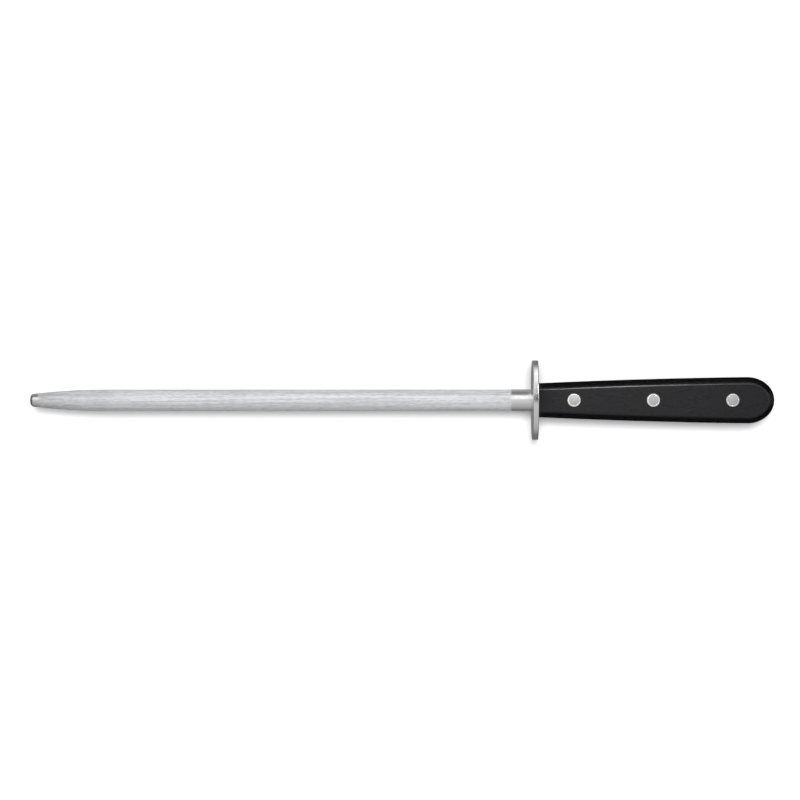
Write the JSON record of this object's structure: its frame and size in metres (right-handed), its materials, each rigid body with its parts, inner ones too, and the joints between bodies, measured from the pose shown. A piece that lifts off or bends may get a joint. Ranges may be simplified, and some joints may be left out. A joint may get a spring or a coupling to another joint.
{
  "type": "sharpening steel",
  "caption": "Round grooved honing rod with a blunt tip, a disc guard and a flat riveted two-scale handle, for straightening knife edges.",
  "frame": {"origin": "on the rod's axis, in the guard's face that looks at the tip", "axes": "-X along the rod to its tip, +X through the handle to its butt, Y across the handle's width, +Z out of the handle's upper flat face"},
  "size_m": [0.3855, 0.0412, 0.0412],
  "materials": {
    "rod_steel": "hard-chromed tool steel, finely grooved lengthways, polished at the tip and the neck",
    "tang_steel": "stainless plate, its edges ground flush with the scales",
    "guard_steel": "stainless steel, turned and polished",
    "handle_plastic": "black acetal, ground and satin polished",
    "rivet_metal": "stainless rivet ground flush with the handle"
  },
  "bodies": {
    "root": {"sharpening_rod": "rod_steel", "full_tang": "tang_steel", "finger_guard": "guard_steel", "handle_scale_upper": "handle_plastic", "handle_scale_lower": "handle_plastic", "rivet_post_front": "rivet_metal", "rivet_socket_front": "rivet_metal", "rivet_post_middle": "rivet_metal", "rivet_socket_middle": "rivet_metal", "rivet_post_rear": "rivet_metal", "rivet_socket_rear": "rivet_metal"}
  },
  "joints": []
}
